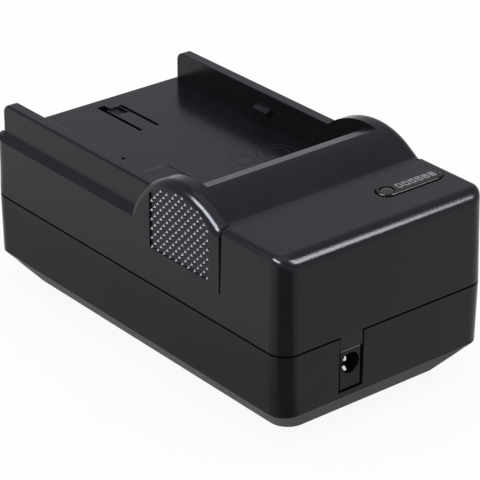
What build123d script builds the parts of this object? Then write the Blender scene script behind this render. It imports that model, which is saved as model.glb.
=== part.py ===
from build123d import *

import os
from math import cos, hypot, pi, radians, sin, sqrt, tan

from OCP.BRepFilletAPI import BRepFilletAPI_MakeFillet

# Camera battery charger, in millimetres.
# X runs across it, Y along it with the jack at the -Y front and the bay open at the +Y rear.
# Z is up, and the origin is the middle of the flat underside.

# Case envelope
case_length = 90.0
case_width = 49.6
seam_height = 18.5
head_height = 37.45
corner_radius = 3.8
least_corner = 0.4
wall = 2.0
base_wall = 2.0

# Foot chamfer and draft of the lower case
foot_height = 6.0
foot_inset = 5.0
foot_corner_radius = 3.9
lower_draft = 0.2

# Seam between the two cases: an open groove outside, a lip behind it
seam_gap = 0.4
lip_height = 1.6
lip_wall = 0.9
lip_clearance = 0.1

# Head block of the upper case
head_depth = 17.7
head_front_radius = 2.6
head_side_radius = 1.2
upper_draft = 0.5

# Battery plate
plate_seam_height = 24.6
plate_step = 0.15
plate_wall = 1.8
plate_slit = 0.4
plate_tongue_reach = 2.3
plate_tongue_wall = 1.2
plate_tongue_clearance = 0.15
plate_lip_drop = 2.0
ledge_height = 31.6
shoulder_drop = 1.3
rear_edge_bevel = 0.35
lap_thickness = 0.8
lap_clearance = 0.08
lap_side_inset = 2.4

# Hump between the head and the bay
hump_rise = 4.05
hump_radius = 16.4
hump_edge_radius = 2.2
hump_slope = 32.0
hump_front_land = 0.17
crease_radius = 1.6

# Battery bay
floor_height = 31.0
rail_inset = 1.9
rail_thickness = 2.55
rail_height = 37.45
rail_end_inset = 1.85
rail_end_radius = 1.9
rail_edge_radius = 0.5
rail_inner_radius = 0.15
stop_offset = 0.6
stop_lip_width = 2.6
stop_lip_tilt = 12.0

# Raised pad beside the left rail
pad_height = 1.2
pad_width = 12.42
pad_length = 25.8
pad_edge_radius = 0.7
pad_bevel_width = 0.62
pad_bevel_drop = 0.2

# Guide tabs inside both rails
tab_rear_inset = 27.9
tab_length = 4.3
tab_height = 1.6
tab_rise = 2.1
tab_reach = 1.3
tab_bevel = 0.6

# Latch tongue cut into the bay floor
latch_offset = 1.25
latch_width = 3.4
latch_slit = 0.8
latch_length = 12.9
latch_rear_inset = 4.65
latch_window_width = 1.95
latch_window_reach = 1.6
tooth_height = 0.6
tooth_ramp = 0.25
tooth_bevel = 0.2
tooth_face = 0.15
tooth_left_inset = 0.5
tooth_right_inset = 0.25
scoop_depth = 0.5
scoop_length = 2.6

# Small gauge hole in the bay floor
gauge_radius = 0.45
gauge_depth = 1.0
gauge_offset = 11.6
gauge_rear_inset = 26.0

# Grip recess on both sides of the hump
grip_depth = 0.35
grip_length = 17.5
grip_front_inset = 2.9
grip_bottom_rise = 1.25
grip_top_margin = 1.7

# Screw bosses and their screws
boss_side_inset = 9.3
boss_end_inset = 9.0
boss_radius = 3.5
boss_meet_height = 16.5
screw_seat_height = 10.0
screw_radius = 1.3
screw_length = 13.0
screw_head_radius = 2.4
screw_head_height = 1.7
screw_head_edge_radius = 0.6
screw_tip_bevel = 0.5
screw_recess = 0.7
screw_recess_width = 0.6
screw_recess_margin = 0.9
screw_hole_clearance = 0.3
screw_thread_clearance = 0.05
screw_tip_room = 1.0

# Circuit board on its posts
board_top = 7.6
board_thickness = 1.6
board_side_gap = 1.4
board_front_gap = 0.5
board_boss_gap = 0.7
board_rear_gap = 0.6
post_radius = 2.2
post_side_inset = 3.0
post_end_inset = 4.5
board_screw_radius = 1.0
board_screw_bite = 3.0
board_screw_tip_room = 0.3
board_screw_head_radius = 1.9
board_screw_head_height = 1.2

# Jack for the car lead
jack_width = 4.9
jack_height = 8.0
jack_depth = 12.0
jack_gap_left = 0.25
jack_gap_right = 0.65
jack_gap_below = 0.5
jack_tab_gap_left = 0.12
jack_tab_gap_right = 0.4
jack_tab_gap_below = 0.15
jack_edge_bevel = 0.15
jack_face_inset = 0.15
jack_boss_gap = 0.9
jack_bore_radius = 2.1
jack_bore_top_wall = 0.85
jack_bore_depth = 9.0
jack_pin_radius = 0.65
jack_pin_inset = 1.4
jack_pin_nose = 0.45
jack_tail_length = 1.2
jack_spring_width = 1.2
jack_spring_thickness = 0.3
jack_spring_inset = 0.15
jack_spring_bow = 0.3
jack_spring_curl = 0.5
jack_spring_clearance = 0.03
jack_spring_turn = 57.6

# Indicator lens and lamp on the head
lens_length = 15.1
lens_width = 4.1
lens_side_inset = 10.5
lens_front_inset = 10.8
lens_seat_depth = 1.1
lens_rise = 0.35
lens_groove = 0.25
lens_edge_radius = 0.3
lamp_radius = 1.45
lamp_clearance = 0.06
lamp_rise = 0.55
lamp_dome = 0.7
lamp_collar_radius = 1.85
lamp_collar_height = 1.0
lamp_lead = 0.5
lamp_lead_pitch = 1.6

# Battery contacts in their holder behind the stop wall
contact_thickness = 0.6
contact_height = 3.5
contact_rise = 2.0
contact_reach = 5.9
contact_tail = 2.0
contact_pitch = 6.0
contact_side_inset = 10.35
contact_clearance = 0.05
contact_nose_radius = 0.8
holder_depth = 3.4
holder_margin = 1.0

# Leads from the contacts down to the board
lead_radius = 0.7
lead_straight = 5.0
lead_slack = 2.0
lead_bend = 5.0

# Fold-out mains plug under the rear half
plug_rear_inset = 31.0
plug_axis_height = 3.75
barrel_radius = 3.45
barrel_length = 20.0
nose_reach = 4.6
nose_half_height = 3.2
pivot_radius = 1.5
pivot_length = 2.2
pivot_clearance = 0.05
plug_clearance = 0.35
pocket_wall = 1.6
pivot_wall = 2.8
blade_spacing = 12.7
blade_thickness = 1.5
blade_width = 6.35
blade_length = 16.2
blade_tip_radius = 1.3
blade_hole_radius = 1.5
blade_hole_reach = 11.7
blade_root_width = 2.2
blade_root_back = 3.2
channel_clearance = 0.4
channel_end_clearance = 0.7
channel_wall = 1.4
dish_length = 8.0
dish_depth = 2.2
dish_floor = 1.4

# Springs that feed the plug blades
spring_width = 3.0
spring_thickness = 0.4
spring_foot = 3.0
spring_roof_gap = 0.4
spring_tip_gap = 0.3
spring_window_margin = 0.4
spring_window_length = 3.6

# Transformer on the board
core_width = 17.0
core_depth = 6.0
core_height = 15.0
core_yoke = 2.5
core_leg = 2.5
core_centre_leg = 4.8
core_lift = 0.6
coil_clearance = 0.2
bobbin_wall = 0.7
bobbin_flange = 1.0
bobbin_depth = 15.0
bobbin_foot = 1.8
transformer_side_inset = 11.1
transformer_rear_inset = 13.5

# Other parts on the board
input_cap_radius = 5.0
input_cap_height = 14.0
output_cap_radius = 4.0
output_cap_height = 11.0
cap_edge_radius = 0.6
cap_front_inset = 0.5
cap_side_gap = 1.5
rectifier_size = (8.4, 5.6, 3.0)
rectifier_fuse_gap = 0.4
transistor_size = (8.0, 3.0, 11.0)
transistor_rear_inset = 16.0
opto_size = (6.4, 4.6, 3.5)
opto_offset = -4.9
chip_size = (5.0, 4.0, 1.6)
chip_offset = 2.3
small_part_front_inset = 4.0
fuse_radius = 1.7
fuse_length = 7.6
fuse_spring_gap = 0.5
diode_radius = 1.8
diode_length = 7.0
diode_front_reach = 6.5
lead_wire_radius = 0.35
left_row_inset = 7.5
middle_row_gap = 1.6
stand_off = 0.4
leg_size = 0.5

# Places worked out from the sizes above
half_width = case_width / 2
half_length = case_length / 2
front = -half_length
rear = half_length
head_rear = front + head_depth
plate_front = head_rear + plate_slit / 2
plate_half = half_width - plate_step
plate_rear = half_length - plate_step
rail_outer = half_width - rail_inset
rail_end = rear - rail_end_inset
bay_half = rail_outer - rail_thickness
hump_crown_height = head_height + hump_rise
hump_centre_height = hump_crown_height - hump_radius
hump_turn = radians(hump_slope)
slope_top = hump_centre_height + hump_radius * cos(hump_turn)
slope_run = (slope_top - head_height) / tan(hump_turn)
crease_run = crease_radius * tan(hump_turn / 2)
hump_centre = plate_front + hump_front_land + crease_run + slope_run + hump_radius * sin(hump_turn)
stop_wall = hump_centre - stop_offset
boss_x = half_width - boss_side_inset
boss_y = half_length - boss_end_inset
jack_x = -(boss_x - boss_radius - jack_boss_gap - jack_width / 2)
jack_top = board_top + jack_height
notch_left = jack_x - jack_width / 2 - jack_gap_left
notch_right = jack_x + jack_width / 2 + jack_gap_right
jack_front = front + jack_face_inset
jack_bore_height = jack_top - jack_bore_top_wall - jack_bore_radius
board_bottom = board_top - board_thickness
plug_axis = rear - plug_rear_inset
pocket_front = plug_axis - barrel_radius - plug_clearance
pocket_rear = plug_axis + hypot(nose_reach, nose_half_height) + plug_clearance
pocket_top = plug_axis_height + barrel_radius + plug_clearance
roof_top = pocket_top + pocket_wall
lens_x = half_width - lens_side_inset
lens_y = front + lens_front_inset
lamp_x = lens_x - (lens_length - lens_width) / 2
contact_bottom = floor_height + contact_rise
holder_front = stop_wall - plate_wall - holder_depth


def section(inset, height, radius):
    """Rounded rectangle of the case's plan, moved in by inset, at a height."""
    plan = RectangleRounded(case_width - 2 * inset, case_length - 2 * inset, radius)
    return Pos(0, 0, height) * plan


def corner(inset):
    """Corner radius of the plan after it is moved in by inset."""
    return max(corner_radius - inset, least_corner)


def block(inset, bottom, top):
    """Upright block of the case's plan, moved in by inset."""
    return extrude(section(inset, bottom, corner(inset)), top - bottom)


def band(outer_inset, inner_inset, bottom, top):
    """Upright wall that follows the case's plan between two insets."""
    return block(outer_inset, bottom, top) - block(inner_inset, bottom - 1, top + 1)


def span(x, y, z):
    """Box given by its lowest and highest value on each axis."""
    size = [high - low for low, high in (x, y, z)]
    centre = [(high + low) / 2 for low, high in (x, y, z)]
    return Pos(*centre) * Box(*size)


def post(x, y, bottom, top, radius):
    """Upright cylinder between two heights."""
    return Pos(x, y, (bottom + top) / 2) * Cylinder(radius, top - bottom)


def along_x(x, y, z, radius, length):
    """Cylinder along X, centred on a point."""
    return Pos(x, y, z) * Rot(0, 90, 0) * Cylinder(radius, length)


def along_y(x, low, high, z, radius):
    """Cylinder along Y between two places."""
    return Pos(x, (low + high) / 2, z) * Rot(90, 0, 0) * Cylinder(radius, high - low)


def side_profile(edges, width, x=0.0):
    """Solid whose outline in the YZ plane is a closed chain of edges, width wide about x."""
    return Pos(x, 0, 0) * extrude(Plane.YZ * make_face(edges), width / 2, both=True)


def cross_profile(corners, y, side):
    """Solid along Y whose outline in the XZ plane is a polygon, drawn for the +X side."""
    face = make_face(Polyline(*corners, close=True))
    solid = Pos(0, y[1], 0) * extrude(Plane.XZ * face, y[1] - y[0])
    return solid if side > 0 else mirror(solid, Plane.YZ)


def strip(points, thickness, width, x):
    """Bent metal strip that follows points in the YZ plane."""
    path = trace(Polyline(*points), thickness)
    return Pos(x, 0, 0) * extrude(Plane.YZ * path, width / 2, both=True)


def boss_places():
    """Plan places of the four case screws."""
    return [(sx * boss_x, sy * boss_y) for sx in (-1, 1) for sy in (-1, 1)]


def lower_inset(height):
    """How far the drafted lower wall stands in from the seam's outline."""
    return lower_draft * (seam_height - height) / (seam_height - foot_height)


def cavity_inset(height):
    """How far the inside of the lower case stands in, on the chamfer or on the wall."""
    slant = hypot(foot_inset, foot_height)
    chamfer = lower_draft + foot_inset * (1 - height / foot_height) + wall * slant / foot_height
    return max(chamfer, wall + lower_inset(height))


def lower_case_shell():
    """Drafted tray with the foot chamfer and the seam lip, hollowed to its walls."""
    top = seam_height - seam_gap / 2
    outside = loft(
        [
            section(lower_draft + foot_inset, 0, foot_corner_radius),
            section(lower_draft, foot_height, corner(lower_draft)),
            section(lower_inset(top), top, corner_radius),
        ],
        ruled=True,
    )
    lip_top = seam_height + lip_height
    lip = band(wall - lip_wall, wall + lip_wall, top - lip_height, lip_top)
    knee = foot_height * (1 + (wall * hypot(foot_inset, foot_height) / foot_height - wall) / foot_inset)
    inside = loft(
        [
            section(cavity_inset(base_wall), base_wall, least_corner),
            section(lower_draft + wall, knee, corner(wall)),
            section(wall, lip_top + 1, corner(wall)),
        ],
        ruled=True,
    )
    return outside + lip - inside


def plug_pocket(lower):
    """Adds the walled pocket and blade channels of the fold-out plug to the lower case."""
    barrel_half = barrel_length / 2 + plug_clearance
    wall_half = barrel_half + pivot_wall
    body = span(
        (-wall_half, wall_half),
        (pocket_front - pocket_wall, pocket_rear + pocket_wall),
        (0, roof_top),
    )
    blade_tip = plug_axis + nose_reach + blade_length
    channel_end = blade_tip + channel_end_clearance
    channel_half = blade_thickness / 2 + channel_clearance
    channel_top = plug_axis_height + blade_width / 2 + channel_clearance
    hollow = span((-barrel_half, barrel_half), (pocket_front, pocket_rear), (-1, pocket_top))
    hollow += along_x(0, plug_axis, plug_axis_height, pivot_radius + pivot_clearance,
                      barrel_length + 2 * (pivot_length + plug_clearance))
    for side in (-1, 1):
        x = side * blade_spacing / 2
        out = channel_half + channel_wall
        body += span(
            (x - out, x + out),
            (plug_axis, channel_end + channel_wall),
            (0, channel_top + channel_wall),
        )
        hollow += span((x - channel_half, x + channel_half), (plug_axis, channel_end), (-1, channel_top))
        window_half = spring_width / 2 + spring_window_margin
        hollow += span(
            (x - window_half, x + window_half),
            (plug_axis - spring_window_length / 2, plug_axis + spring_window_length / 2),
            (pocket_top - 1, roof_top + 1),
        )
    dish_half = blade_spacing / 2 - channel_half
    dish_middle = channel_end - channel_end_clearance - dish_length
    dish_radius = (dish_length ** 2 / 4 + dish_depth ** 2) / (2 * dish_depth)
    body += span(
        (-dish_half, dish_half),
        (dish_middle - dish_length / 2 - dish_floor, dish_middle + dish_length / 2 + dish_floor),
        (0, dish_depth + dish_floor),
    )
    hollow += along_x(0, dish_middle, dish_depth - dish_radius, dish_radius, 2 * dish_half)
    return lower + body - hollow


def build_lower_case():
    """Lower moulding: tray, screw bosses, board posts, jack notch and plug pocket."""
    lower = lower_case_shell()
    for x, y in boss_places():
        lower += post(x, y, base_wall / 2, boss_meet_height, boss_radius)
    for x, y in board_post_places():
        lower += post(x, y, base_wall / 2, board_bottom, post_radius)
    lower = plug_pocket(lower)
    for x, y in boss_places():
        lower -= post(x, y, -1, screw_seat_height, screw_head_radius + screw_hole_clearance)
        lower -= post(x, y, 0, boss_meet_height + 1, screw_radius + screw_hole_clearance)
    for x, y in board_screw_places():
        depth = board_screw_bite + board_screw_tip_room
        hole = board_screw_radius + screw_thread_clearance
        lower -= post(x, y, board_bottom - depth, board_bottom + 1, hole)
    lower -= span(
        (notch_left, notch_right),
        (front - 1, front + wall + lip_wall + 1),
        (board_top - jack_gap_below, seam_height + lip_height + 1),
    )
    return lower


def round_head(upper):
    """Rounds the head's top edge, wide along the front and tight along the sides, blended at the corners."""
    front_edge = upper.faces().sort_by(Axis.Z)[-1].edges().sort_by(Axis.Y)[0]
    maker = BRepFilletAPI_MakeFillet(upper.wrapped)
    maker.Add(front_edge.wrapped)
    for place in range(1, maker.NbEdges(1) + 1):
        edge = Edge(maker.Edge(1, place))
        if edge.geom_type == GeomType.LINE:
            at_front = edge.center().Y < head_rear and abs(edge.center().X) < half_width / 2
            maker.SetRadius(head_front_radius if at_front else head_side_radius, 1, place)
    maker.Build()
    return Solid(maker.Shape())


def build_upper_case():
    """Upper moulding: head block, band below the plate, front bosses and the tab over the jack."""
    bottom = seam_height + seam_gap / 2
    upper = loft(
        [
            section(0, bottom, corner(0)),
            section(upper_draft, head_height, corner(upper_draft)),
        ],
        ruled=True,
    )
    upper = round_head(upper)
    upper -= block(wall, bottom - 1, head_height - wall)
    rear_cut = span(
        (-half_width - 1, half_width + 1),
        (head_rear - plate_slit / 2, rear + 1),
        (plate_seam_height, head_height + 1),
    )
    upper -= rear_cut
    upper -= block(wall - lip_wall - lip_clearance, bottom - 1, seam_height + lip_height)
    for x in (-boss_x, boss_x):
        upper += post(x, -boss_y, boss_meet_height, head_height - wall / 2, boss_radius)
        upper -= screw_pilot(x, -boss_y)
    tab_sides = (notch_left + jack_tab_gap_left, notch_right - jack_tab_gap_right)
    tab_foot = jack_top + jack_tab_gap_below
    upper += span(tab_sides, (front, front + wall), (tab_foot, bottom))
    upper += span(tab_sides, (front + wall / 2, front + wall), (tab_foot, seam_height + 2 * lip_height))
    return upper - lens_seat()


def screw_pilot(x, y):
    """Blind hole for a case screw's thread, with room beyond the tip."""
    top = screw_seat_height + screw_length + screw_tip_room
    return post(x, y, boss_meet_height - 1, top, screw_radius + screw_thread_clearance)


def lens_plate(margin, bottom, top):
    """Obround of the indicator lens between two heights, grown by margin."""
    outline = SlotOverall(lens_length + 2 * margin, lens_width + 2 * margin)
    return extrude(Pos(lens_x, lens_y, bottom) * outline, top - bottom)


def lens_seat():
    """Pocket for the lens in the head's top, with the lamp's hole."""
    pocket = lens_plate(lens_groove, head_height - lens_seat_depth, head_height + 1)
    hole = post(lamp_x, lens_y, head_height - 2 * wall, head_height, lamp_radius + lamp_clearance)
    return pocket + hole


def circle_height(y, radius):
    """Height of the hump's arc, or of an arc about the same centre, at a place along Y."""
    return hump_centre_height + sqrt(radius ** 2 - (y - hump_centre) ** 2)


def hump_block():
    """Hump: crease to the head, straight slope, crown arc, and its rounded side edges."""
    flat = (plate_front + hump_front_land, head_height)
    bend, crease = (
        (flat[0] + crease_radius * sin(turn), head_height + crease_radius * (1 - cos(turn)))
        for turn in (hump_turn / 2, hump_turn)
    )
    slope_end = (hump_centre - hump_radius * sin(hump_turn), slope_top)
    crown = (hump_centre, hump_crown_height)
    foot_height_above = (plate_seam_height + ledge_height) / 2
    foot_run = sqrt(hump_radius ** 2 - (foot_height_above - hump_centre_height) ** 2)
    foot = (hump_centre + foot_run, foot_height_above)
    edges = [
        Line((foot[0], plate_seam_height), (plate_front, plate_seam_height)),
        Line((plate_front, plate_seam_height), (plate_front, head_height)),
        Line((plate_front, head_height), flat),
        ThreePointArc(flat, bend, crease),
        Line(crease, slope_end),
        ThreePointArc(slope_end, crown, foot),
        Line(foot, (foot[0], plate_seam_height)),
    ]
    hump = side_profile(edges, 2 * plate_half)
    outline = [
        edge
        for edge in hump.edges()
        if abs(abs(edge.center().X) - plate_half) < 1e-6
        and edge.center().Z > foot_height_above
        and abs(edge.center().Y - plate_front) > 1e-6
    ]
    return fillet(outline, hump_edge_radius)


def shoulder_cut(side):
    """Wedge taken off one side of the skirt, which leaves a slope outside the rail."""
    beyond = half_width + 1
    fall = shoulder_drop * (beyond - rail_outer) / (plate_half - rail_outer)
    corners = [
        (rail_outer, ledge_height),
        (rail_outer, ledge_height + 1),
        (beyond, ledge_height + 1),
        (beyond, ledge_height - fall),
    ]
    return cross_profile(corners, (front, rear), side)


def plate_base():
    """Skirt of the battery plate behind the head, with a sloping shoulder outside each rail."""
    base = block(plate_step, plate_seam_height, ledge_height)
    across = (-half_width - 1, half_width + 1)
    above = ledge_height + 1
    base -= span(across, (front - 1, plate_front), (plate_seam_height - 1, above))
    base -= span(across, (rail_end - rail_edge_radius, rear + 1), (floor_height, above))
    for side in (-1, 1):
        base -= shoulder_cut(side)
    bevel = [
        (plate_rear - rear_edge_bevel, floor_height),
        (plate_rear - rear_edge_bevel, above),
        (plate_rear + 1, above),
        (plate_rear + 1, floor_height - rear_edge_bevel - 1),
    ]
    return base - side_profile([Polyline(*bevel, close=True)], case_width)


def rail(side):
    """One upright rail beside the bay, with rounded rear corner and edges."""
    end = rail_end
    bottom = floor_height - plate_wall
    turn = rail_end_radius * (1 - cos(pi / 4))
    edges = [
        Line((hump_centre, bottom), (hump_centre, rail_height)),
        Line((hump_centre, rail_height), (end - rail_end_radius, rail_height)),
        ThreePointArc(
            (end - rail_end_radius, rail_height),
            (end - turn, rail_height - turn),
            (end, rail_height - rail_end_radius),
        ),
        Line((end, rail_height - rail_end_radius), (end, bottom)),
        Line((end, bottom), (hump_centre, bottom)),
    ]
    solid = side_profile(edges, rail_thickness, side * (rail_outer - rail_thickness / 2))
    for out, radius in ((1, rail_edge_radius), (-1, rail_inner_radius)):
        outline = [
            edge
            for edge in solid.edges()
            if out * (side * edge.center().X - rail_outer + rail_thickness / 2) > rail_thickness / 4
            and edge.center().Z > bottom + 1e-6
            and edge.center().Y > hump_centre + 1e-6
        ]
        solid = fillet(outline, radius)
    return solid


def bay_space():
    """Space of the bay, with the sloping lip along the top of the stop wall."""
    lip_front = stop_wall - stop_lip_width
    lip_height_front = circle_height(lip_front, hump_radius)
    lip_height_rear = lip_height_front - stop_lip_width * tan(radians(stop_lip_tilt))
    above = hump_crown_height + 1
    behind = rear + 1
    corners = [
        (stop_wall, floor_height),
        (stop_wall, lip_height_rear),
        (lip_front, lip_height_front),
        (lip_front, above),
        (behind, above),
        (behind, floor_height),
    ]
    return side_profile([Polyline(*corners, close=True)], 2 * bay_half)


def plate_hollow():
    """Inside of the plate: under the bay floor, and under the hump ahead of the stop wall."""
    inset = plate_step + plate_wall
    under_floor = block(inset, plate_seam_height - 1, floor_height - plate_wall)
    under_floor -= span(
        (-half_width, half_width),
        (front - 1, plate_front - 1),
        (plate_seam_height - 2, floor_height),
    )
    inner = hump_radius - plate_wall
    back = stop_wall - plate_wall
    ahead = plate_front - 1
    bottom = plate_seam_height - 1
    start = (ahead, circle_height(ahead, inner))
    end = (back, circle_height(back, inner))
    middle = ((ahead + back) / 2, circle_height((ahead + back) / 2, inner))
    edges = [
        Line((ahead, bottom), start),
        ThreePointArc(start, middle, end),
        Line(end, (back, bottom)),
        Line((back, bottom), (ahead, bottom)),
    ]
    return under_floor + side_profile(edges, 2 * (half_width - inset))


def plate_joint():
    """Lip inside the upper case's band and tongue under the head, which locate the plate."""
    outer = wall + plate_tongue_clearance
    inner = outer + plate_tongue_wall
    root = plate_step + plate_wall / 2
    seam = plate_seam_height
    lip = band(outer, inner, seam - plate_lip_drop, seam) + band(root, inner, seam, seam + plate_lip_drop)
    behind_head = span(
        (-half_width, half_width),
        (plate_front, rear),
        (seam - plate_lip_drop, seam + plate_lip_drop),
    )
    ceiling = head_height - outer
    inside = block(inner, seam - 1, ceiling - plate_tongue_wall)
    tongue = block(outer, seam, ceiling) - inside
    rim = block(root, seam, head_height - plate_wall / 2) - inside
    across = (-half_width, half_width)
    tongue &= span(across, (plate_front - plate_tongue_reach, plate_front), (seam, head_height))
    rim &= span(across, (plate_front, plate_front + plate_tongue_wall), (seam, head_height))
    return (lip & behind_head) + rim + tongue


def seam_lap():
    """Thin lip along the hump's front edge that closes the slit along the head's top."""
    half = plate_half - lap_side_inset
    return span(
        (-half, half),
        (plate_front - plate_slit + lap_clearance, plate_front + plate_tongue_wall),
        (head_height - lap_thickness, head_height),
    )


def latch_cuts():
    """Slits that free the latch tongue, with the window beside its tooth."""
    end = plate_rear - latch_rear_inset
    half = latch_width / 2
    left = latch_offset - half - latch_slit
    depth = (floor_height - plate_wall - 1, floor_height + 1)
    cuts = span((left, latch_offset + half + latch_slit), (end - latch_slit, end), depth)
    cuts += span((left, left + latch_window_width), (end - latch_slit, end + latch_window_reach), depth)
    for low in (left, latch_offset + half):
        cuts += span((low, low + latch_slit), (end - latch_length, end), depth)
    return cuts


def tooth_place():
    """Width of the tooth on the tongue, and the place of its middle across the bay."""
    width = latch_width - tooth_left_inset - tooth_right_inset
    return width, latch_offset + (tooth_left_inset - tooth_right_inset) / 2


def latch_tooth():
    """Hook tooth at the tongue's free end, with a narrow bevel along its crest."""
    end = plate_rear - latch_rear_inset - latch_slit
    crest = end - tooth_ramp
    corners = [
        (end, floor_height - scoop_depth),
        (end, floor_height),
        (crest, floor_height + tooth_height),
        (crest - tooth_bevel, floor_height + tooth_height - tooth_bevel),
        (crest - tooth_bevel - tooth_face, floor_height - scoop_depth),
    ]
    return side_profile([Polyline(*corners, close=True)], *tooth_place())


def latch_scoop():
    """Shallow flat scoop in the tongue ahead of the tooth."""
    width, middle = tooth_place()
    end = plate_rear - latch_rear_inset - latch_slit - tooth_ramp - tooth_bevel - tooth_face
    return span(
        (middle - width / 2, middle + width / 2),
        (end - scoop_length, end),
        (floor_height - scoop_depth, floor_height + 1),
    )


def floor_pad():
    """Raised pad beside the left rail, bevelled along its side and rounded along its rear."""
    left = -bay_half - rail_thickness / 2
    right = -bay_half + pad_width
    rear = stop_wall + pad_length
    bottom = floor_height - plate_wall / 2
    top = floor_height + pad_height
    corners = [
        (left, bottom),
        (right, bottom),
        (right, top - pad_bevel_drop),
        (right - pad_bevel_width, top),
        (left, top),
    ]
    pad = cross_profile(corners, (stop_wall - plate_wall / 2, rear), 1)
    rear_edges = [
        edge
        for edge in pad.edges()
        if edge.center().Y > rear - 1e-6 and edge.center().Z > top - pad_bevel_drop
    ]
    return fillet(rear_edges, pad_edge_radius)


def guide_tab(side):
    """Guide tab on the inside of one rail, thinner towards its free edge."""
    rear_end = plate_rear - tab_rear_inset
    bottom = floor_height + tab_rise
    top = bottom + tab_height
    root = bay_half + rail_thickness / 2
    corners = [
        (root, bottom),
        (bay_half, bottom),
        (bay_half - tab_reach, bottom + tab_bevel),
        (bay_half - tab_reach, top - tab_bevel),
        (bay_half, top),
        (root, top),
    ]
    return cross_profile(corners, (rear_end - tab_length, rear_end), side)


def grip_recess(side):
    """Recess for the grip dots on one side of the hump."""
    front_edge = plate_front + grip_front_inset
    rear_edge = front_edge + grip_length
    bottom = plate_seam_height + grip_bottom_rise
    radius = hump_radius - grip_top_margin
    low = (front_edge, circle_height(front_edge, radius))
    high = (rear_edge, circle_height(rear_edge, radius))
    crown = (hump_centre, hump_centre_height + radius)
    edges = [
        Line((front_edge, bottom), low),
        ThreePointArc(low, crown, high),
        Line(high, (rear_edge, bottom)),
        Line((rear_edge, bottom), (front_edge, bottom)),
    ]
    return side_profile(edges, 2 * grip_depth, side * plate_half)


def contact_places():
    """Places across the stop wall of the three battery contacts, by node name."""
    names = ("negative", "signal", "positive")
    middle = bay_half - contact_side_inset
    return {name: middle + (step - 1) * contact_pitch for step, name in enumerate(names)}


def contact_slot(x, low, high):
    """Clearance around one contact between two places along Y."""
    half = contact_thickness / 2 + contact_clearance
    bottom = contact_bottom - contact_clearance
    top = contact_bottom + contact_height + contact_clearance
    return span((x - half, x + half), (low, high), (bottom, top))


def build_battery_plate():
    """Battery plate: hump, bay with its rails, latch tongue, guide tabs and grip recesses."""
    plate = hump_block() + plate_base()
    for side in (-1, 1):
        plate += rail(side)
    plate -= bay_space()
    plate += floor_pad()
    plate -= plate_hollow()
    plate += plate_joint() + seam_lap()
    for side in (-1, 1):
        plate += guide_tab(side)
        plate -= grip_recess(side)
        plate += post(side * boss_x, boss_y, boss_meet_height, floor_height - plate_wall / 2, boss_radius)
        plate -= screw_pilot(side * boss_x, boss_y)
    plate -= latch_scoop()
    plate += latch_tooth()
    plate -= latch_cuts()
    plate -= post(
        -gauge_offset,
        plate_rear - gauge_rear_inset,
        floor_height - gauge_depth,
        floor_height + 1,
        gauge_radius,
    )
    for x in contact_places().values():
        plate -= contact_slot(x, stop_wall - plate_wall - 1, stop_wall + 1)
    return plate


def build_charge_lens():
    """Obround indicator lens with a rounded top edge and a hole for the lamp."""
    lens = lens_plate(0, head_height - lens_seat_depth, head_height + lens_rise)
    lens = fillet(lens.faces().sort_by(Axis.Z)[-1].edges(), lens_edge_radius)
    hole = post(lamp_x, lens_y, head_height - 2 * wall, head_height + 1, lamp_radius + lamp_clearance)
    return lens - hole


def build_charge_lamp():
    """Lamp with a domed top, its collar against the head's underside, and two long legs."""
    ceiling = head_height - wall
    crown = head_height + lamp_rise
    lamp = post(lamp_x, lens_y, ceiling - lamp_collar_height, crown - lamp_dome, lamp_radius)
    dome = scale(Sphere(lamp_radius), by=(1, 1, lamp_dome / lamp_radius))
    lamp += Pos(lamp_x, lens_y, crown - lamp_dome) * dome
    lamp += post(lamp_x, lens_y, ceiling - lamp_collar_height, ceiling, lamp_collar_radius)
    for side in (-1, 1):
        x = lamp_x + side * lamp_lead_pitch / 2
        lamp += span(
            (x - lamp_lead / 2, x + lamp_lead / 2),
            (lens_y - lamp_lead / 2, lens_y + lamp_lead / 2),
            (board_top, ceiling - lamp_collar_height / 2),
        )
    return lamp


def jack_rear():
    """Place along Y of the back of the jack's bore."""
    return jack_front + jack_bore_depth


def build_jack_housing():
    """Jack housing with its bore and the pin's hole."""
    half = jack_width / 2
    back = jack_front + jack_depth
    housing = span((jack_x - half, jack_x + half), (jack_front, back), (board_top, jack_top))
    face = housing.faces().sort_by(Axis.Y)[0]
    housing = chamfer(face.edges(), jack_edge_bevel)
    housing -= along_y(jack_x, jack_front - 1, jack_rear(), jack_bore_height, jack_bore_radius)
    housing -= along_y(jack_x, jack_rear() - 1, back + 1, jack_bore_height, jack_pin_radius)
    return housing


def build_jack_pin():
    """Round-ended centre pin, held in the back of the housing."""
    tip = jack_front + jack_pin_inset
    tail = jack_front + jack_depth + jack_tail_length
    pin = along_y(jack_x, tip, tail, jack_bore_height, jack_pin_radius)
    nose = pin.edges().filter_by(GeomType.CIRCLE).sort_by(Axis.Y)[0]
    return fillet(nose, jack_pin_nose)


def build_jack_spring():
    """Bowed spring strip with a curled nose, at the lower left of the bore."""
    seat = sqrt(jack_bore_radius ** 2 - (jack_spring_width / 2) ** 2) - jack_spring_clearance
    bottom = jack_spring_thickness / 2 - seat
    start = jack_front + jack_spring_inset + jack_spring_curl
    end = jack_rear()
    rise = bottom + jack_spring_bow
    points = [
        (start, bottom),
        (start + (end - start) / 3, rise),
        (end - (end - start) / 3, rise),
        (end, bottom),
    ]
    spring = strip(points, jack_spring_thickness, jack_spring_width, 0)
    spring += along_x(0, start, jack_spring_curl - seat, jack_spring_curl, jack_spring_width)
    return Pos(jack_x, 0, jack_bore_height) * Rot(0, jack_spring_turn, 0) * spring


def board_half():
    """Half width of the circuit board, inside the lower case at the board's underside."""
    return half_width - cavity_inset(board_bottom) - board_side_gap


def board_rear():
    """Rear edge of the circuit board, ahead of the plug's pocket."""
    return pocket_front - pocket_wall - board_rear_gap


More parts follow.
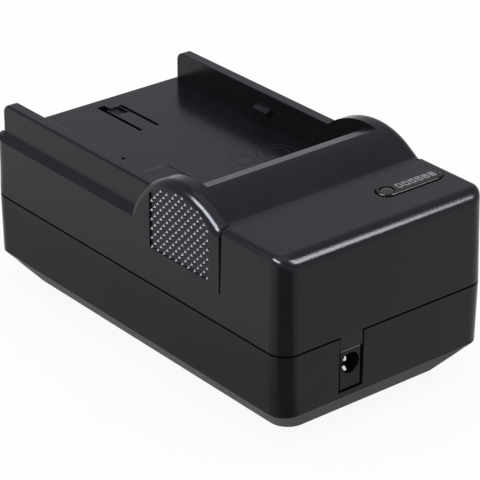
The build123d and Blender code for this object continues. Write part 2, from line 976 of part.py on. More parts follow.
def board_shoulder():
    """Where the narrow front of the board widens, behind the front bosses."""
    return -boss_y + boss_radius + board_boss_gap


def board_post_places():
    """Plan places of the posts below the board's corners."""
    x = board_half() - post_side_inset
    low = board_shoulder() + post_end_inset
    high = board_rear() - post_end_inset
    return [(-x, low), (x, high), (x, low), (-x, high)]


def board_screw_places():
    """The two posts that hold a screw."""
    return board_post_places()[:2]


def build_circuit_board():
    """Board with a narrow front between the bosses and a hole for each screw."""
    tongue = boss_x - boss_radius - board_boss_gap
    nose = front + cavity_inset(board_bottom) + board_front_gap
    board = span((-board_half(), board_half()), (board_shoulder(), board_rear()), (board_bottom, board_top))
    board += span((-tongue, tongue), (nose, board_shoulder()), (board_bottom, board_top))
    for x, y in board_screw_places():
        board -= post(x, y, board_bottom - 1, board_top + 1, board_screw_radius + screw_hole_clearance)
    return board


def pan_screw(radius, length, head_radius, head_height, seat, downwards):
    """Pan-head screw on the Z axis with its head's seat at a height."""
    way = -1 if downwards else 1
    shank = post(0, 0, min(seat, seat + way * length), max(seat, seat + way * length), radius)
    tip = shank.edges().filter_by(GeomType.CIRCLE).sort_by(Axis.Z)[-1 if way > 0 else 0]
    shank = chamfer(tip, screw_tip_bevel)
    low = min(seat, seat - way * head_height)
    high = max(seat, seat - way * head_height)
    head = post(0, 0, low, high, head_radius)
    rim = head.edges().filter_by(GeomType.CIRCLE).sort_by(Axis.Z)[0 if way > 0 else -1]
    head = fillet(rim, screw_head_edge_radius)
    end = low if way > 0 else high
    for angle in (0, 90):
        slot = Box(2 * (head_radius - screw_recess_margin), screw_recess_width, 2 * screw_recess)
        head -= Pos(0, 0, end) * Rot(0, 0, angle) * slot
    return shank + head


def build_case_screws():
    """Four screws that close the case from below."""
    screw = pan_screw(
        screw_radius, screw_length, screw_head_radius, screw_head_height,
        screw_seat_height, False,
    )
    return Compound([Pos(x, y, 0) * screw for x, y in boss_places()])


def build_board_screws():
    """Two screws that hold the board on its posts."""
    length = board_thickness + board_screw_bite
    screw = pan_screw(
        board_screw_radius, length, board_screw_head_radius, board_screw_head_height,
        board_top, True,
    )
    return Compound([Pos(x, y, 0) * screw for x, y in board_screw_places()])


def transformer_place():
    """Middle of the transformer on the board."""
    return board_half() - transformer_side_inset, board_rear() - transformer_rear_inset


def window_width():
    """Width of each of the core's two windows."""
    return (core_width - 2 * core_leg - core_centre_leg) / 2


def build_transformer_core():
    """Ferrite core: two windows about a centre leg."""
    x, y = transformer_place()
    bottom = board_top + core_lift
    core = span(
        (x - core_width / 2, x + core_width / 2),
        (y - core_depth / 2, y + core_depth / 2),
        (bottom, bottom + core_height),
    )
    for side in (-1, 1):
        low = x + side * (core_centre_leg / 2 + window_width() / 2)
        core -= span(
            (low - window_width() / 2, low + window_width() / 2),
            (y - core_depth, y + core_depth),
            (bottom + core_yoke, bottom + core_height - core_yoke),
        )
    return core


def leg_sleeve(clear, bottom, top):
    """Block around the core's centre leg, with a clearance."""
    x, y = transformer_place()
    return span(
        (x - core_centre_leg / 2 - clear, x + core_centre_leg / 2 + clear),
        (y - core_depth / 2 - clear, y + core_depth / 2 + clear),
        (bottom, top),
    )


def build_transformer_bobbin():
    """Bobbin: sleeve on the centre leg, two flanges, and feet on the board."""
    x, y = transformer_place()
    low = board_top + core_lift + core_yoke + coil_clearance
    high = board_top + core_lift + core_height - core_yoke - coil_clearance
    flange_half = core_centre_leg / 2 + window_width() - coil_clearance
    bobbin = leg_sleeve(coil_clearance + bobbin_wall, low, high)
    for bottom in (low, high - bobbin_flange):
        bobbin += span(
            (x - flange_half, x + flange_half),
            (y - bobbin_depth / 2, y + bobbin_depth / 2),
            (bottom, bottom + bobbin_flange),
        )
    for side in (-1, 1):
        edge = y + side * (bobbin_depth - bobbin_foot) / 2
        bobbin += span(
            (x - flange_half, x + flange_half),
            (edge - bobbin_foot / 2, edge + bobbin_foot / 2),
            (board_top, low + bobbin_flange),
        )
    return bobbin - leg_sleeve(coil_clearance, low - 1, high + 1)


def build_transformer_winding():
    """Taped winding between the bobbin's flanges."""
    x, y = transformer_place()
    low = board_top + core_lift + core_yoke + coil_clearance + bobbin_flange
    high = board_top + core_lift + core_height - core_yoke - coil_clearance - bobbin_flange
    half = core_centre_leg / 2 + window_width() - 2 * coil_clearance
    deep = bobbin_depth / 2 - bobbin_foot - coil_clearance
    winding = span((x - half, x + half), (y - deep, y + deep), (low, high))
    winding = fillet(winding.edges().filter_by(Axis.Z), bobbin_flange)
    return winding - leg_sleeve(coil_clearance + bobbin_wall, low - 1, high + 1)


def can(x, y, radius, height):
    """Electrolytic capacitor standing on the board, with rolled edges."""
    body = post(x, y, board_top, board_top + height, radius)
    return fillet(body.edges().filter_by(GeomType.CIRCLE), cap_edge_radius)


def build_input_capacitor():
    """Tall capacitor in the board's front left corner."""
    x = -board_half() + cap_side_gap + input_cap_radius
    return can(x, board_shoulder() + cap_front_inset + input_cap_radius + post_end_inset + post_radius,
               input_cap_radius, input_cap_height)


def build_output_capacitor():
    """Shorter capacitor beside the board's middle, towards the front."""
    return can(middle_row(), board_shoulder() + cap_front_inset + output_cap_radius,
               output_cap_radius, output_cap_height)


def leaded_body(x, y, size, columns, rows):
    """Moulded body lifted off the board on straight legs."""
    width, depth, height = size
    body = span(
        (x - width / 2, x + width / 2),
        (y - depth / 2, y + depth / 2),
        (board_top + stand_off, board_top + stand_off + height),
    )
    for column in range(columns):
        for row in range(rows):
            leg_x = x + (column - (columns - 1) / 2) * (width - 2 * leg_size) / max(columns - 1, 1)
            leg_y = y + (row - (rows - 1) / 2) * (depth - 2 * leg_size) / max(rows - 1, 1)
            body += span(
                (leg_x - leg_size / 2, leg_x + leg_size / 2),
                (leg_y - leg_size / 2, leg_y + leg_size / 2),
                (board_top, board_top + stand_off + leg_size),
            )
    return body


def axial_reach(length):
    """How far an axial part and its bent wires reach from its middle."""
    return length / 2 + 3 * lead_wire_radius


def axial_body(x, y, radius, length):
    """Axial part lying across the board on two bent wires."""
    height = board_top + stand_off + radius
    body = along_x(x, y, height, radius, length)
    reach = axial_reach(length)
    body += along_x(x, y, height, lead_wire_radius, 2 * reach)
    for side in (-1, 1):
        body += post(x + side * (reach - lead_wire_radius), y, board_top, height, lead_wire_radius)
    return body


def left_row():
    """Place across the board of the parts in its left row."""
    return -board_half() + left_row_inset


def middle_row():
    """Place across the board of the parts between the left row and the transformer."""
    return transformer_place()[0] - core_width / 2 - middle_row_gap - transistor_size[0] / 2


def build_leads():
    """Leads from the contacts' tails down to the board, with a slack bend, by node name."""
    leads = {}
    y = holder_front - contact_tail + lead_radius
    top = contact_bottom
    for name, x in contact_places().items():
        points = [
            (x, y, top),
            (x, y, top - lead_straight),
            (x, y - lead_slack, top - 2 * lead_straight),
            (x, y - lead_slack, board_top),
        ]
        path = FilletPolyline(*points, radius=lead_bend)
        leads[name + "_lead"] = sweep(Plane(path @ 0, z_dir=path % 0) * Circle(lead_radius), path)
    return leads


def build_contacts():
    """Flat battery contacts that stand out of the stop wall, by node name."""
    contacts = {}
    half = contact_thickness / 2
    for name, x in contact_places().items():
        blade = span(
            (x - half, x + half),
            (holder_front - contact_tail, stop_wall + contact_reach),
            (contact_bottom, contact_bottom + contact_height),
        )
        nose = [edge for edge in blade.edges().filter_by(Axis.X) if edge.center().Y > stop_wall]
        contacts[name + "_contact"] = fillet(nose, contact_nose_radius)
    return contacts


def build_contact_holder():
    """Block behind the stop wall that holds the contacts."""
    places = list(contact_places().values())
    holder = span(
        (places[0] - contact_thickness - holder_margin, places[-1] + contact_thickness + holder_margin),
        (holder_front, stop_wall - plate_wall),
        (contact_bottom - holder_margin, contact_bottom + contact_height + holder_margin),
    )
    for x in places:
        holder -= contact_slot(x, holder_front - 1, stop_wall)
    return holder


def blade_root():
    """Narrow root of a plug blade on the Y axis, inside the carrier."""
    half = blade_root_width / 2
    return span(
        (-blade_thickness / 2, blade_thickness / 2),
        (plug_axis - blade_root_back, plug_axis + nose_reach),
        (plug_axis_height - half, plug_axis_height + half),
    )


def build_plug_carrier():
    """Turning carrier of the mains plug: barrel, nose and pivots, with a slot for each blade."""
    carrier = along_x(0, plug_axis, plug_axis_height, barrel_radius, barrel_length)
    nose = span(
        (-barrel_length / 2, barrel_length / 2),
        (plug_axis, plug_axis + nose_reach),
        (plug_axis_height - nose_half_height, plug_axis_height + nose_half_height),
    )
    carrier += nose
    carrier += along_x(0, plug_axis, plug_axis_height, pivot_radius, barrel_length + 2 * pivot_length)
    for side in (-1, 1):
        carrier -= Pos(side * blade_spacing / 2, 0, 0) * blade_root()
    return carrier


def build_plug_blade(side):
    """One flat mains blade with rounded tip corners, its hole and its root."""
    start = plug_axis + nose_reach
    blade = span(
        (-blade_thickness / 2, blade_thickness / 2),
        (start, start + blade_length),
        (plug_axis_height - blade_width / 2, plug_axis_height + blade_width / 2),
    )
    tip = [edge for edge in blade.edges().filter_by(Axis.X) if edge.center().Y > start + blade_length / 2]
    blade = fillet(tip, blade_tip_radius)
    blade -= along_x(0, start + blade_hole_reach, plug_axis_height, blade_hole_radius, 2 * blade_thickness)
    return Pos(side * blade_spacing / 2, 0, 0) * (blade + blade_root())


def build_plug_spring(side):
    """Spring strip from the board over the pocket's roof and down its window to the barrel."""
    half = spring_thickness / 2
    foot = board_top + half
    over = roof_top + spring_roof_gap + half
    riser = board_rear() - half
    tip = plug_axis_height + barrel_radius + spring_tip_gap + half
    points = [
        (board_rear() - spring_foot, foot),
        (riser, foot),
        (riser, over),
        (plug_axis - spring_window_length / 4, over),
        (plug_axis, tip),
    ]
    return strip(points, spring_thickness, spring_width, side * blade_spacing / 2)


def build_all():
    """Every piece of the charger, by node name."""
    rear_edge = board_rear()
    small_part_x = transformer_place()[0]
    small_part_y = board_shoulder() + small_part_front_inset
    diode_x = (jack_x + jack_width / 2 + lamp_x) / 2
    fuse_y = rear_edge - spring_foot - fuse_spring_gap - fuse_radius
    rectifier_y = fuse_y - fuse_radius - rectifier_fuse_gap - rectifier_size[1] / 2
    parts = {
        "lower_case": build_lower_case(),
        "upper_case": build_upper_case(),
        "battery_plate": build_battery_plate(),
        "charge_lens": build_charge_lens(),
        "charge_lamp": build_charge_lamp(),
        "dc_jack_housing": build_jack_housing(),
        "dc_jack_pin": build_jack_pin(),
        "dc_jack_spring": build_jack_spring(),
        "circuit_board": build_circuit_board(),
        "transformer_core": build_transformer_core(),
        "transformer_bobbin": build_transformer_bobbin(),
        "transformer_winding": build_transformer_winding(),
        "input_capacitor": build_input_capacitor(),
        "output_capacitor": build_output_capacitor(),
        "bridge_rectifier": leaded_body(left_row(), rectifier_y, rectifier_size, 2, 2),
        "switch_transistor": leaded_body(middle_row(), rear_edge - transistor_rear_inset,
                                         transistor_size, 3, 1),
        "optocoupler": leaded_body(small_part_x + opto_offset, small_part_y, opto_size, 2, 2),
        "controller_chip": leaded_body(small_part_x + chip_offset, small_part_y, chip_size, 4, 2),
        "fuse_resistor": axial_body(left_row(), fuse_y, fuse_radius, fuse_length),
        "output_diode": axial_body(diode_x, board_shoulder() - diode_front_reach,
                                   diode_radius, diode_length),
        "contact_holder": build_contact_holder(),
        "plug_carrier": build_plug_carrier(),
        "plug_blade_left": build_plug_blade(-1),
        "plug_blade_right": build_plug_blade(1),
        "plug_spring_left": build_plug_spring(-1),
        "plug_spring_right": build_plug_spring(1),
        "case_screws": build_case_screws(),
        "board_screws": build_board_screws(),
    }
    parts.update(build_contacts())
    parts.update(build_leads())
    return parts


os.makedirs("parts", exist_ok=True)
for node, shape in build_all().items():
    export_step(shape, "parts/" + node + ".step")
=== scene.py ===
"""Looks of a camera battery charger: finishes, moulded and printed details, and the studio."""

import logging
import math
from dataclasses import dataclass
from enum import Enum
from typing import Dict, Iterable, List, Optional, Sequence, Tuple, Union

import bpy
from mathutils import Matrix, Vector


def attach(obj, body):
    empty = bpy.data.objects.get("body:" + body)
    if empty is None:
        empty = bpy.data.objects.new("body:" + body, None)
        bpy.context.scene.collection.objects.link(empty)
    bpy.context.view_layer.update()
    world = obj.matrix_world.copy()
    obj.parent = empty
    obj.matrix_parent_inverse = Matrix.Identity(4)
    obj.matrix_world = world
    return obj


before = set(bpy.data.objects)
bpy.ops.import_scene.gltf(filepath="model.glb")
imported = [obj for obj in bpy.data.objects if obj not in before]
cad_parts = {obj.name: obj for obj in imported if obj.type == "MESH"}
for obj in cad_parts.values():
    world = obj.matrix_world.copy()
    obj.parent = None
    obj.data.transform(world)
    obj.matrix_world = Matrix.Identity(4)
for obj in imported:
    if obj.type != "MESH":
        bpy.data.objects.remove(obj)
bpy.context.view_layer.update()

LOG = logging.getLogger("charger")
MM = 0.001
SMOOTH_NOISE = 1.0
SOFT_NOISE = 2.0
FINE_NOISE = 3.0
ROUGH_NOISE = 4.0
NOISE_MIDDLE = 0.5
WHITE = (1.0, 1.0, 1.0)

Colour = Tuple[float, float, float]
Point = Tuple[float, float, float]
Span = Tuple[float, float]
Face = Sequence[int]
Value = Union["Socket", float, Sequence[float]]


class Body(Enum):
    """The two rigid bodies of the charger."""

    CASE = "case"
    PLUG = "plug"


class Side(Enum):
    """Left or right of the charger, as a sign along X."""

    LEFT = -1
    RIGHT = 1


class Socket:
    """A node's output that takes part in plain arithmetic."""

    def __init__(self, graph: "Graph", output: Optional[bpy.types.NodeSocket]) -> None:
        """Keeps the graph and the output that later nodes link to."""
        self.graph = graph
        self.output = output

    def _math(self, operation: str, first: Value, second: Value) -> "Socket":
        """Adds one Math node for two values."""
        return self.graph.node("ShaderNodeMath", {"operation": operation}, {0: first, 1: second})

    def __add__(self, other: Value) -> "Socket":
        """self + other"""
        return self._math("ADD", self, other)

    def __radd__(self, other: Value) -> "Socket":
        """other + self"""
        return self._math("ADD", other, self)

    def __sub__(self, other: Value) -> "Socket":
        """self - other"""
        return self._math("SUBTRACT", self, other)

    def __rsub__(self, other: Value) -> "Socket":
        """other - self"""
        return self._math("SUBTRACT", other, self)

    def __mul__(self, other: Value) -> "Socket":
        """self * other"""
        return self._math("MULTIPLY", self, other)

    def between(self, low: float, high: float) -> "Socket":
        """A smooth step from 0 at low to 1 at high."""
        settings = {"interpolation_type": "SMOOTHSTEP"}
        return self.graph.node("ShaderNodeMapRange", settings, {0: self, 1: low, 2: high})

    def swing(self, width: float) -> "Socket":
        """A noise from 0 to 1, moved to lie evenly about 0 and scaled to a width."""
        return (self - NOISE_MIDDLE) * width


class Graph:
    """A material's or world's node tree, and the one way that nodes are added to it."""

    MIX_FACTOR = 0
    MIX_FIRST = 6
    MIX_SECOND = 7
    MIX_RESULT = 2

    def __init__(self, tree: bpy.types.NodeTree) -> None:
        """Starts from an empty tree."""
        self.tree = tree
        tree.nodes.clear()

    def node(
        self,
        kind: str,
        settings: Optional[Dict[str, object]] = None,
        inputs: Optional[Dict[Union[str, int], Value]] = None,
        output: Union[str, int] = 0,
    ) -> Socket:
        """Adds a node.

        Args:
            kind: Blender's type name of the node.
            settings: The node's own settings, set before its sockets.
            inputs: Values or links of its sockets, by name or place.
            output: The output to hand on.

        Returns:
            That output, or an empty socket for a node without outputs.
        """
        made = self.tree.nodes.new(kind)
        for key, value in (settings or {}).items():
            setattr(made, key, value)
        for key, value in (inputs or {}).items():
            if isinstance(value, Socket):
                self.tree.links.new(value.output, made.inputs[key])
            else:
                made.inputs[key].default_value = value
        return Socket(self, made.outputs[output] if made.outputs else None)

    def place(self) -> Socket:
        """The point on the surface, in metres in the piece's own frame."""
        return self.node("ShaderNodeTexCoord", output="Object")

    def axes(self, point: Socket) -> Tuple[Socket, ...]:
        """The three parts of a point."""
        return tuple(
            self.node("ShaderNodeSeparateXYZ", None, {0: point}, axis) for axis in range(3)
        )

    def noise(self, point: Socket, size: float, detail: float) -> Socket:
        """Soft noise from 0 to 1 whose cells are about size metres wide."""
        inputs = {"Vector": point, "Scale": 1 / size, "Detail": detail}
        return self.node("ShaderNodeTexNoise", None, inputs)

    def mix(self, share: Value, first: Value, second: Value) -> Socket:
        """A colour between two colours."""
        inputs = {self.MIX_FACTOR: share, self.MIX_FIRST: first, self.MIX_SECOND: second}
        return self.node("ShaderNodeMix", {"data_type": "RGBA"}, inputs, self.MIX_RESULT)

    def vary(self, share: Value, colour: Colour, drift: Span) -> Socket:
        """A colour that drifts between two shades of itself."""
        return self.mix(share, *(shade(colour, factor) for factor in drift))

    def bump(self, height: Socket, depth: float) -> Socket:
        """A normal bent by a height from 0 to 1 that stands for depth metres."""
        return self.node("ShaderNodeBump", None, {"Height": height, "Distance": depth})

    def shader(self, **inputs: Value) -> Socket:
        """Adds a Principled shader.

        Args:
            inputs: Its sockets, with _ for each space in a name.

        Returns:
            The shader's output.
        """
        named = {key.replace("_", " "): value for key, value in inputs.items()}
        return self.node("ShaderNodeBsdfPrincipled", None, named)

    def surface(self, **inputs: Value) -> None:
        """Ends the tree with a Principled shader, whose sockets are given as for shader."""
        self.node("ShaderNodeOutputMaterial", None, {"Surface": self.shader(**inputs)})


def rgba(colour: Colour) -> Tuple[float, float, float, float]:
    """An opaque colour with its alpha."""
    return (*colour, 1.0)


def shade(colour: Colour, factor: float) -> Tuple[float, float, float, float]:
    """A colour made lighter or darker by a factor, with its alpha."""
    return tuple(min(part * factor, 1.0) for part in colour) + (1.0,)


@dataclass(frozen=True)
class Finish:
    """What every finish has: a name and a colour."""

    name: str
    colour: Colour

    def paint(self, graph: Graph) -> None:
        """Fills the material's tree."""
        raise NotImplementedError

    def material(self) -> bpy.types.Material:
        """Makes the Blender material once and returns it."""
        made = bpy.data.materials.get(self.name)
        if made is None:
            made = bpy.data.materials.new(self.name)
            made.use_nodes = True
            self.paint(Graph(made.node_tree))
        return made


@dataclass(frozen=True)
class SatinPlastic(Finish):
    """Moulded plastic with a fine etched texture."""

    roughness: float = 0.21
    ior: float = 1.25
    grain: float = 0.24 * MM
    depth: float = 0.0075 * MM
    sheen: Colour = (0.88, 0.9, 1.0)
    cloud: float = 9 * MM
    cloud_gloss: float = 0.05
    rubbed: float = 2.2 * MM
    rubbed_gloss: float = 0.04
    drift: Span = (0.85, 1.15)
    # Painted glint: the colour is lighter where the grain peaks.
    painted_glint_peaks: Span = (0.55, 0.8)
    painted_glint_share: float = 0.5
    painted_glint_light: float = 1.5

    def paint(self, graph: Graph) -> None:
        """Etched grain with a painted glint on its peaks, faint cloudy gloss and a slow drift of
        colour.
        """
        place = graph.place()
        grain = graph.noise(place, self.grain, FINE_NOISE)
        cloud = graph.noise(place, self.cloud, FINE_NOISE)
        rubbed = graph.noise(place, self.rubbed, ROUGH_NOISE)
        colour = graph.vary(cloud, self.colour, self.drift)
        # Painted glint: the grain's peaks are painted lighter, as if they caught the light.
        painted_glint_peaks = grain.between(*self.painted_glint_peaks) * self.painted_glint_share
        gloss = cloud.swing(self.cloud_gloss)
        graph.surface(
            Base_Color=graph.mix(painted_glint_peaks, colour, shade(self.colour, self.painted_glint_light)),
            Roughness=self.roughness + gloss + rubbed.swing(self.rubbed_gloss),
            IOR=self.ior,
            Specular_Tint=rgba(self.sheen),
            Normal=graph.bump(grain, self.depth),
        )


@dataclass(frozen=True)
class GlossPlastic(Finish):
    """Smooth plastic with faint moulding waves."""

    roughness: float = 0.14
    ior: float = 1.45
    wave: float = 1.6 * MM
    depth: float = 0.004 * MM
    marks: float = 0.3 * MM
    marks_gloss: float = 0.08
    drift: Span = (0.9, 1.1)

    def paint(self, graph: Graph) -> None:
        """A near-clean gloss with slight waves and fine marks."""
        place = graph.place()
        wave = graph.noise(place, self.wave, SMOOTH_NOISE)
        marks = graph.noise(place, self.marks, ROUGH_NOISE)
        graph.surface(
            Base_Color=graph.vary(wave, self.colour, self.drift),
            Roughness=self.roughness + marks.swing(self.marks_gloss),
            IOR=self.ior,
            Normal=graph.bump(wave, self.depth),
        )


@dataclass(frozen=True)
class Resin(Finish):
    """Smoked cast resin of the lamp."""

    roughness: float = 0.12
    ior: float = 1.3
    cloud: float = 0.7 * MM
    cloud_gloss: float = 0.08
    depth: float = 0.003 * MM
    drift: Span = (0.8, 1.15)

    def paint(self, graph: Graph) -> None:
        """Smoked resin, a little cloudy."""
        cloud = graph.noise(graph.place(), self.cloud, SOFT_NOISE)
        graph.surface(
            Base_Color=graph.vary(cloud, self.colour, self.drift),
            Roughness=self.roughness + cloud * self.cloud_gloss,
            IOR=self.ior,
            Normal=graph.bump(cloud, self.depth),
        )


@dataclass(frozen=True)
class Metal(Finish):
    """Plated or bare metal with drawn lines along one axis."""

    roughness: float = 0.2
    stretch: Point = (1.0, 0.06, 1.0)
    lines: float = 0.12 * MM
    lines_gloss: float = 0.14
    depth: float = 0.002 * MM
    tarnish: float = 2.5 * MM
    tarnish_gloss: float = 0.05
    drift: Span = (0.85, 1.08)

    def paint(self, graph: Graph) -> None:
        """Fine lines in the gloss and a slight tarnish in the colour."""
        place = graph.place()
        along = graph.node("ShaderNodeMapping", None, {"Vector": place, "Scale": self.stretch})
        lines = graph.noise(along, self.lines, FINE_NOISE)
        tarnish = graph.noise(place, self.tarnish, FINE_NOISE)
        gloss = lines.swing(self.lines_gloss)
        graph.surface(
            Base_Color=graph.vary(tarnish, self.colour, self.drift),
            Metallic=1.0,
            Roughness=self.roughness + gloss + tarnish * self.tarnish_gloss,
            Normal=graph.bump(lines, self.depth),
        )


@dataclass(frozen=True)
class SolderMask(Finish):
    """Circuit board with its copper tracks under the mask, and bare edges."""

    bare: Colour = (0.42, 0.36, 0.2)
    bare_drift: Span = (0.8, 1.1)
    bare_roughness: float = 0.55
    mask_gloss: float = 0.25
    level: Span = (0.3, 0.7)
    cell: float = 3.4 * MM
    scatter: float = 0.75
    track_start: Span = (0.32, 0.36)
    track_end: Span = (0.62, 0.66)
    track_drift: Span = (0.8, 1.5)
    track_depth: float = 0.02 * MM
    weave: float = 0.5 * MM

    def paint(self, graph: Graph) -> None:
        """Tracks as a stepped cell pattern, over a glassy mask."""
        place = graph.place()
        height = graph.axes(graph.node("ShaderNodeNewGeometry", None, None, "Normal"))[2]
        flat = (height * height).between(*self.level)
        cells = graph.node(
            "ShaderNodeTexVoronoi",
            {"distance": "MANHATTAN", "feature": "F1"},
            {"Vector": place, "Scale": 1 / self.cell, "Randomness": self.scatter},
        )
        track = cells.between(*self.track_start) * (1 - cells.between(*self.track_end))
        mask = graph.vary(track, self.colour, self.track_drift)
        weave = graph.noise(place, self.weave, SOFT_NOISE)
        edge = graph.vary(weave, self.bare, self.bare_drift)
        graph.surface(
            Base_Color=graph.mix(flat, edge, mask),
            Roughness=self.bare_roughness - flat * self.mask_gloss,
            Normal=graph.bump(track, self.track_depth),
        )


@dataclass(frozen=True)
class Sintered(Finish):
    """Pressed and fired ferrite, or moulded component resin."""

    roughness: float = 0.55
    speck: float = 0.25 * MM
    speck_gloss: float = 0.2
    depth: float = 0.015 * MM
    pits: Span = (0.45, 0.7)
    drift: Span = (0.75, 1.4)

    def paint(self, graph: Graph) -> None:
        """Fine specks and pits."""
        specks = graph.noise(graph.place(), self.speck, ROUGH_NOISE)
        graph.surface(
            Base_Color=graph.vary(specks.between(*self.pits), self.colour, self.drift),
            Roughness=self.roughness + specks.swing(self.speck_gloss),
            Normal=graph.bump(specks, self.depth),
        )


@dataclass(frozen=True)
class Banded(Finish):
    """A coat with bands across one axis: tape turns, sleeve stripes or lacquer rings."""

    second: Colour = (0.8, 0.8, 0.8)
    axis: int = 2
    pitch: float = 3 * MM
    share: float = 0.3
    softness: float = 0.04
    roughness: float = 0.3
    cloud: float = 1.5 * MM
    cloud_gloss: float = 0.1
    drift: Span = (0.85, 1.1)
    depth: float = 0.02 * MM

    def paint(self, graph: Graph) -> None:
        """Even bands in a second colour, with a small step at each edge."""
        place = graph.place()
        along = graph.axes(place)[self.axis]
        half = self.pitch / 2
        turn = graph.node("ShaderNodeMath", {"operation": "PINGPONG"}, {0: along, 1: half})
        edge = self.share * half
        band = 1 - turn.between(edge * (1 - self.softness), edge * (1 + self.softness))
        cloud = graph.noise(place, self.cloud, FINE_NOISE)
        base = graph.vary(cloud, self.colour, self.drift)
        graph.surface(
            Base_Color=graph.mix(band, base, rgba(self.second)),
            Roughness=self.roughness + cloud * self.cloud_gloss,
            Normal=graph.bump(band, self.depth),
        )


@dataclass(frozen=True)
class Ink(Finish):
    """Screen-printed ink."""

    roughness: float = 0.5
    coat: float = 0.2 * MM
    coat_gloss: float = 0.2
    depth: float = 0.004 * MM
    drift: Span = (0.82, 1.0)

    def paint(self, graph: Graph) -> None:
        """A thin coat, a little uneven."""
        coat = graph.noise(graph.place(), self.coat, FINE_NOISE)
        graph.surface(
            Base_Color=graph.vary(coat, self.colour, self.drift),
            Roughness=self.roughness + coat * self.coat_gloss,
            Normal=graph.bump(coat, self.depth),
        )


@dataclass(frozen=True)
class Paper(Finish):
    """Seamless white studio paper of the floor, with painted shade patches that the charger's sides
    mirror.
    """

    roughness: float = 0.85
    tooth: float = 1.2 * MM
    depth: float = 0.01 * MM
    drift: Span = (0.99, 1.0)
    lift: float = 0.92
    # Painted shade: strengths of the darker white that mirrored rays see beside, before and below
    # the charger.
    painted_shade_beside: float = 0.62
    before: float = 0.15
    below: float = 0.24
    foot: Span = (24.8 * MM, 45.0 * MM)
    overrun: float = 2.0
    reach: float = 46.0 * MM
    corner: Span = (-15.0 * MM, -48.0 * MM)
    extent: float = 250.0 * MM
    fade: float = 5.0 * MM
    foot_fade: float = 1.0 * MM

    def _within(self, graph: Graph, place: Socket, low: Span, high: Span, edge: float) -> Socket:
        """1 inside a box in plan, falling to 0 over its edge."""
        share = 1.0
        for part, start, end in zip(graph.axes(place), low, high):
            entered = part.between(start - edge, start + edge)
            share = entered * (1 - part.between(end - edge, end + edge)) * share
        return share

    def _glow(self, graph: Graph, strength: float) -> Socket:
        """An even white of one strength."""
        return graph.node("ShaderNodeEmission", None, {"Color": rgba(WHITE), "Strength": strength})

    def paint(self, graph: Graph) -> None:
        """Faint tooth in an even white, whose shadow is lifted where it is seen or mirrored, and
        painted shade patches that only mirrored rays see.
        """
        place = graph.place()
        tooth = graph.noise(place, self.tooth, FINE_NOISE)
        paper = graph.shader(
            Base_Color=graph.vary(tooth, self.colour, self.drift),
            Roughness=self.roughness,
            Specular_IOR_Level=0.0,
            Normal=graph.bump(tooth, self.depth),
        )
        seen, glossy, through = (
            graph.node("ShaderNodeLightPath", None, None, name)
            for name in ("Is Camera Ray", "Is Glossy Ray", "Is Transmission Ray")
        )
        wide, long = self.foot
        end = self.overrun * long
        far = (-self.extent, -self.extent)
        # Boxes in plan of painted shade: beside the left side, in front of the near corner and
        # under the foot.
        painted_shade_beside = self._within(graph, place, (-self.reach, -end), (-wide, end), self.fade)
        before = self._within(graph, place, far, self.corner, self.fade)
        below = self._within(graph, place, (-wide, -long), (wide, long), self.foot_fade)
        mirrored = 1 - seen
        shown = self._glow(graph, 1.0)
        # Painted shade: each box darkens the white for mirrored rays only; the camera still sees
        # the even white.
        for mask, strength in ((painted_shade_beside, self.painted_shade_beside), (before, self.before), (below, self.below)):
            shaded = {0: mask * mirrored, 1: shown, 2: self._glow(graph, strength)}
            shown = graph.node("ShaderNodeMixShader", None, shaded)
        share = (seen + glossy + through).between(0.0, 1.0) * self.lift
        mixed = graph.node("ShaderNodeMixShader", None, {0: share, 1: paper, 2: shown})
        graph.node("ShaderNodeOutputMaterial", None, {"Surface": mixed})


CASE_BLACK = SatinPlastic("case_satin", (0.0093, 0.009, 0.0104))
FRAME_BLACK = SatinPlastic(
    "frame_satin", CASE_BLACK.colour, ior=1.275, grain=0.32 * MM, depth=0.018 * MM
)
PLATE_BLACK = SatinPlastic("plate_satin", (0.009, 0.0091, 0.0108), roughness=0.2, ior=1.27)
STUD_BLACK = SatinPlastic("stud_satin", (0.006, 0.0062, 0.0075), roughness=0.2, ior=1.24)
PLUG_BLACK = SatinPlastic("plug_satin", (0.009, 0.009, 0.0096), roughness=0.28)
JACK_BLACK = GlossPlastic("jack_gloss", (0.004, 0.004, 0.0042), roughness=0.22, ior=1.25)
LENS_SMOKE = GlossPlastic("lens_smoke", (0.004, 0.004, 0.0045), roughness=0.1, ior=1.3)
LAMP_RESIN = Resin("lamp_smoke", (0.045, 0.045, 0.043))
PRINT_WHITE = Ink("print_white", (0.27, 0.27, 0.28))
NICKEL = Metal("nickel_plate", (0.72, 0.7, 0.66), roughness=0.16)
BRASS = Metal("contact_brass", (0.78, 0.58, 0.25), roughness=0.2)
ZINC = Metal("screw_zinc", (0.5, 0.5, 0.51), roughness=0.28)
BOARD_GREEN = SolderMask("board_mask", (0.02, 0.11, 0.035))
FERRITE = Sintered("core_ferrite", (0.045, 0.044, 0.043))
BOBBIN = Sintered("bobbin_resin", (0.02, 0.02, 0.02), roughness=0.4)
RESIN_BLACK = Sintered("moulded_resin", (0.014, 0.014, 0.014), roughness=0.45)
HOLDER = Sintered("holder_nylon", (0.55, 0.52, 0.44), roughness=0.5)
TAPE = Banded(
    "coil_tape", (0.72, 0.5, 0.05), second=(0.6, 0.4, 0.03), pitch=2.6 * MM, share=0.12
)
SLEEVE = Banded(
    "shrink_sleeve", (0.012, 0.02, 0.06), second=(0.5, 0.5, 0.52), pitch=9 * MM, share=0.12
)
LACQUER = Banded(
    "fuse_lacquer", (0.16, 0.32, 0.3), second=(0.35, 0.05, 0.03), axis=0, pitch=2.4 * MM
)
RED_WIRE = GlossPlastic("red_insulation", (0.45, 0.015, 0.012), roughness=0.3)
BLACK_WIRE = GlossPlastic("black_insulation", (0.015, 0.015, 0.015), roughness=0.3)
